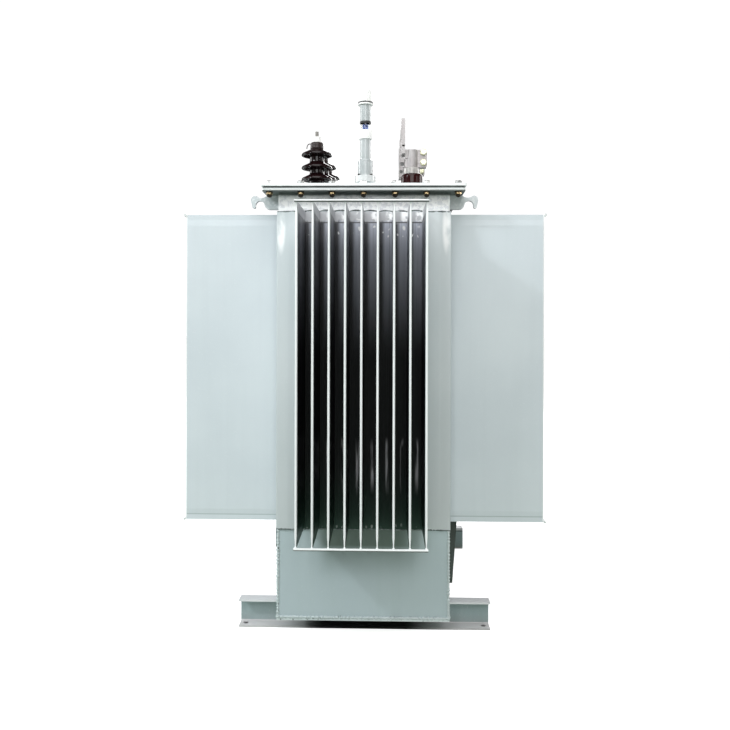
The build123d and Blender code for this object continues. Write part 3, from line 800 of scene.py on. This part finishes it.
def lvProfile(v):
    # up the barrel, in and out of the groove, and over the shoulder
    points = [
        (0, 0), (v["r"], 0), (v["r"], v["low"]), (v["groove"], v["low"] + v["slope"]),
        (v["groove"], v["high"] - v["slope"]), (v["r"], v["high"]), (v["r"], v["top"]), (0, v["top"]),
    ]
    return roundedProfile(points, v["rounds"], v["steps"])


lvPorcelain = [turned(lvProfile(lvShape), c, lvShape["sides"]) for c in lvRow]
addPiece("lv_porcelain", lvPorcelain, lvGlaze, ("lv_bushings",), "soft")

# clamp bolts through the ears: yellow heads toward the near end, nuts on the far side
clampBolts = dict(
    x=0.040, levels=(0.1425, 0.1785), half=0.015, across=0.020, head=0.008,
    washer=0.0115, washerHigh=0.002, turn=0.3, turnUp=20,
)
clampHeads = []
for cx, cy, cz in lvRow:
    for level in clampBolts["levels"]:
        turn = clampBolts["turn"] + level * clampBolts["turnUp"]
        for axis, s in (("-Y", -1), ("+Y", 1)):
            spot = (cx + clampBolts["x"], cy + s * clampBolts["half"], cz + level)
            clampHeads += [washerShape(spot, clampBolts, axis)]
            spot = (spot[0], spot[1] + s * clampBolts["washerHigh"], spot[2])
            clampHeads += [hexShape(spot, clampBolts["across"], clampBolts["head"], axis, turn)]
addPiece("clamp_bolts", clampHeads, paleBoltMat, edges="crisp")

# a small dark spot on both edges of each flag, just over its foot
flagSpot = dict(inset=0.0062, half=0.0318, z=1.6155, size=(0.0060, 0.0022, 0.0032))
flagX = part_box("lv_terminal_clamps")[0][0] + flagSpot["inset"]
flagSpots = [(flagX, cy + s * flagSpot["half"], flagSpot["z"]) for cx, cy, cz in lvRow for s in (-1, 1)]
addPiece("flag_spots", [blob(flagSpots, flagSpot["size"])], boltMat, edges="smooth")

# filler: ribbed union and cap, the disc and seal under the cap, and the float inside the glass
ribbed = dict(sides=144, ribs=24)
smooth = dict(rims=(0.001, 0.001), steps=4, ribs=0, ribDepth=0.0)
unionShape = dict(ribbed, r=0.0212, low=0.182, high=0.212, rims=(0.002, 0.002), steps=5, ribDepth=0.0005)
capShape = dict(ribbed, r=0.0194, low=0.304, high=0.343, rims=(0.001, 0.004), steps=6, ribDepth=0.0004)
discShape = dict(smooth, r=0.0243, low=0.295, high=0.2998, sides=64)
sealShape = dict(smooth, r=0.0245, low=0.2998, high=0.304, sides=64)
floatShape = dict(smooth, r=0.0066, low=0.214, high=0.232, sides=32)


def fillerDrum(v):
    # drum about the filler's axis, ribbed where the shape says so
    return [turned(drumProfile(v), fillerAt, v["sides"], ribs=v["ribs"], ribDepth=v["ribDepth"])]


addPiece("union_grip", fillerDrum(unionShape), plasticMat, ("filler_union",), "soft")
addPiece("cap_grip", fillerDrum(capShape), plasticMat, ("filler_cap",), "soft")
addPiece("cap_collar", fillerDrum(discShape), plasticMat, edges="soft")
addPiece("cap_seal_ring", fillerDrum(sealShape), sealMat, ("filler_cap_seal",), "soft")
addPiece("level_float", fillerDrum(floatShape), floatMat)

# four bolts on the filler's flange
flangeBolts = dict(count=4, at=0.0287, up=0.061, across=0.0075, high=0.005)
addPiece("filler_flange_bolts", boltRing(fillerAt, flangeBolts), boltMat, edges="crisp")

# weld beads up the skirt's corners and round its foot
weld = dict(
    corner=0.0040, cornerWave=0.010, sunk=0.0008, foot=0.0042, footWave=0.012, footOut=0.001, footRound=0.004,
    ripple=0.55, spacing=0.0026,
)
skirtBeads = []
for i, (sx, sy) in enumerate(corners):
    x = sx * (tank["halfX"] - weld["sunk"])
    y = sy * (tank["halfY"] - weld["sunk"])
    path = straight((x, y, tank["skirtLow"]), (x, y, tank["panelLow"]), weld["spacing"])
    skirtBeads += [bead(path, weld["corner"], weld["ripple"], weld["cornerWave"], seed=i)]
footLoop = loopAround(
    tank["halfX"] + weld["footOut"], tank["halfY"] + weld["footOut"], tank["skirtLow"] + weld["footOut"],
    weld["footRound"], weld["spacing"])
skirtBeads += [bead(footLoop, weld["foot"], weld["ripple"], weld["footWave"], seed=9, closed=True)]
addPiece("skirt_welds", skirtBeads, beadMat, edges="smooth")

# seams along the lower and the upper edge of the panels, as dark beads: painted shade in the gap at each seam
seam = dict(
    r=0.0022, ripple=0.4, wave=0.03, sides=6, out=0.0035, corner=0.004, spacing=0.004,
    wander=0.0035, smooth=31, lower=0.0008, upper=0.0012, arch=0.004,
)


def seamPath(z, seed, rise):
    # level loop at the sheet's edge, wandering a little up and down,
    # with an arch |cos(pi s / pitch)| between fins
    out = seam["out"]
    path = loopAround(tank["halfX"] + out, tank["halfY"] + out, z, seam["corner"], seam["spacing"])
    slow = np.random.default_rng(seed).normal(0, 1, len(path))
    kernel = np.hanning(seam["smooth"]) / np.hanning(seam["smooth"]).sum()
    slow = np.convolve(np.concatenate([slow, slow, slow]), kernel, "same")[len(path):2 * len(path)]
    atEnd = np.abs(path[:, 1]) > tank["halfY"]
    half = tank["pitch"] * np.where(atEnd, tank["endFins"], tank["sideFins"]) / 2
    along = np.where(atEnd, path[:, 0], path[:, 1])
    arch = np.abs(np.sin(np.pi * (along + half) / tank["pitch"] + np.pi / 2))
    path[:, 2] += seam["wander"] * slow
    path[:, 2] += rise * arch * (np.abs(along) < half - tank["pitch"] / 2)
    return path


lowerSeam = seamPath(tank["panelLow"] - seam["lower"], 3, 0.0)
upperSeam = seamPath(tank["panelHigh"] - seam["upper"], 5, seam["arch"])
seams = [
    bead(path, seam["r"], seam["ripple"], seam["wave"], seam["sides"], seed, True)
    for path, seed in ((lowerSeam, 4), (upperSeam, 6))
]
addPiece("panel_seam_shadows", seams, seamMat, edges="smooth")

# painted shade: dark discs in the anchor holes of the rails, where the holes would show the lit floor, a
# little hollow on top
holeShade = dict(r=0.0088, low=0.0004, high=0.0025, hollow=0.001, x=0.390, y=0.410)
holeShadeProfile = [
    (0, holeShade["low"]), (holeShade["r"], holeShade["low"]), (holeShade["r"], holeShade["high"]), (0, holeShade["high"] - holeShade["hollow"]),
]
holeShadeDiscs = [turned(holeShadeProfile, (sx * holeShade["x"], sy * holeShade["y"], 0), 24) for sx, sy in corners]
addPiece("anchor_hole_shade_discs", holeShadeDiscs, sealMat)

# small welds where the rods lie on the fin tips
rodWelds = dict(inset=0.0047, back=0.0006, size=(0.0036, 0.0036, 0.0030), rows=4, cols=7)


def rodSpots(count, tip, along):
    # one spot for each fin, at both rods and on both sides
    at = (np.arange(count) - (count - 1) / 2) * tank["pitch"]
    z = np.array([tank["finLow"] + rodWelds["inset"], tank["finHigh"] - rodWelds["inset"]])
    a, h, s = (g.ravel() for g in np.meshgrid(at, z, (-1.0, 1.0), indexing="ij"))
    out = s * (tip + rodWelds["back"])
    return np.stack([a, out, h] if along == 0 else [out, a, h], -1)


endSpots = rodSpots(tank["endFins"], tank["endTip"], 0)
sideSpots = rodSpots(tank["sideFins"], tank["sideTip"], 1)
rodBlobs = blob(np.concatenate([endSpots, sideSpots]), rodWelds["size"], rodWelds["rows"], rodWelds["cols"])
addPiece("rod_welds", [rodBlobs], edgeMat, edges="smooth")

# stage: a plain pale floor and a soft studio round it
white = (1.0, 1.0, 1.0)
cool = (0.93, 0.98, 1.0)
studio = dict(
    floorHalf=30.0, floorTone=(0.90, 0.90, 0.90), bounceTone=(0.44, 0.50, 0.44), floorGlow=0.86,
    floorRough=0.8, floorGloss=0.1, sky=1.06, fill=0.17, fillTone=(0.96, 1.0, 0.97),
)
lamps = {
    "key": dict(place=(-3.4, -3.1, 3.7), aim=(0.0, -0.6, 0.6), size=(0.26, 0.26), power=48.0, tone=cool),
    "soft key": dict(place=(-3.5, -3.2, 3.8), aim=(0.0, -0.6, 0.6), size=(1.8, 1.8), power=64.0, tone=cool),
    "overhead": dict(place=(-0.2, -2.2, 4.2), aim=(0.0, -0.3, 1.0), size=(3.0, 3.0), power=92.0, tone=white),
    "high front": dict(place=(0.1, -4.6, 3.1), aim=(0.0, -0.6, 0.9), size=(2.6, 1.8), power=66.0, tone=white),
    "low front": dict(
        place=(1.3, -5.0, 1.2), aim=(0.1, -0.6, 0.8), size=(2.0, 1.6), power=6.0, tone=(1.0, 0.99, 0.96)),
    "left panel": dict(
        place=(-4.2, -2.4, 1.8), aim=(0.0, -0.5, 0.9), size=(1.2, 2.4), power=8.0, tone=(0.96, 0.99, 1.0)),
    "right panel": dict(
        place=(4.2, -2.4, 1.8), aim=(0.0, -0.5, 0.9), size=(1.2, 2.4), power=11.0, tone=(1.0, 0.96, 0.89)),
    "strip": dict(place=(3.7, -3.3, 1.9), aim=(0.0, -0.3, 1.45), size=(0.16, 2.0), power=9.0, tone=white),
    "right side": dict(place=(5.0, 1.2, 2.6), aim=(0.0, 0.2, 0.8), size=(3.0, 2.2), power=105.0, tone=white),
    "left side": dict(place=(-5.0, 1.2, 2.6), aim=(0.0, 0.2, 0.8), size=(3.0, 2.2), power=105.0, tone=white),
    "back": dict(place=(0.8, 5.4, 3.0), aim=(0.0, 0.4, 0.8), size=(3.0, 2.2), power=120.0, tone=white),
    "left rim": dict(
        place=(-4.2, 1.7, 2.0), aim=(0.0, -0.2, 1.5), size=(0.5, 1.8), power=14.0, tone=(0.97, 0.99, 1.0)),
}
floorMesh = bpy.data.meshes.new("studio_floor")
floorHalf = studio["floorHalf"]
floorMesh.from_pydata([(sx * floorHalf, sy * floorHalf, 0) for sx, sy in corners], [], [(0, 1, 2, 3)])
floor = bpy.data.objects.new("studio_floor", floorMesh)
scene.collection.objects.link(floor)

# the floor glows for the camera alone, and what it throws back is a little green
floorMat = bpy.data.materials.new("pale floor")
floorMat.use_nodes = True
tree = floorMat.node_tree
shader = tree.nodes["Principled BSDF"]
shader.inputs["Roughness"].default_value = studio["floorRough"]
shader.inputs["Specular IOR Level"].default_value = studio["floorGloss"]
shader.inputs["Emission Color"].default_value = (1, 1, 1, 1)
seen = addNode(tree, "ShaderNodeLightPath")
floorTint = mixColour(tree, seen, studio["bounceTone"], studio["floorTone"])
tree.links.new(floorTint, shader.inputs["Base Color"])
glow = ramp(tree, seen, 0.0, 1.0, 0.0, studio["floorGlow"])
tree.links.new(glow, shader.inputs["Emission Strength"])
floorMesh.materials.append(floorMat)

# the world is white to the camera and through glass, and a weak fill to everything else
world = bpy.data.worlds.new("studio")
scene.world = world
world.use_nodes = True
tree = world.node_tree
background = tree.nodes["Background"]
seen = addNode(tree, "ShaderNodeLightPath")
seen = math(tree, "MAXIMUM", seen, seen.node.outputs["Is Transmission Ray"])
tree.links.new(ramp(tree, seen, 0.0, 1.0, studio["fill"], studio["sky"]), background.inputs["Strength"])
tree.links.new(mixColour(tree, seen, studio["fillTone"], white), background.inputs["Color"])


def addLamp(name, v):
    # area lamp that looks from its place to its aim
    data = bpy.data.lights.new(name, "AREA")
    data.shape = "RECTANGLE"
    data.size, data.size_y = v["size"]
    data.energy = v["power"]
    data.color = v["tone"]
    lamp = bpy.data.objects.new(name, data)
    scene.collection.objects.link(lamp)
    lamp.location = v["place"]
    toward = Vector(v["aim"]) - Vector(v["place"])
    lamp.rotation_euler = toward.to_track_quat("-Z", "Y").to_euler()


for name, values in lamps.items():
    addLamp(name, values)
print("stage set,", len(lamps), "lamps")

# camera at the photographed end, a little right of the middle line
shot = dict(
    place=(0.060, -2.806, 1.0222), yaw=1.43, roll=-0.147, lens=35.913, sensor=36.0, shiftY=-0.0685, near=0.05,
)
cameraData = bpy.data.cameras.new("camera")
cameraData.sensor_width = shot["sensor"]
cameraData.lens = shot["lens"]
cameraData.shift_y = shot["shiftY"]
cameraData.clip_start = shot["near"]
camera = bpy.data.objects.new("camera", cameraData)
scene.collection.objects.link(camera)
camera.location = shot["place"]
camera.rotation_euler = (np.pi / 2, np.radians(shot["roll"]), np.radians(shot["yaw"]))
scene.camera = camera
scene.view_settings.view_transform = "Standard"
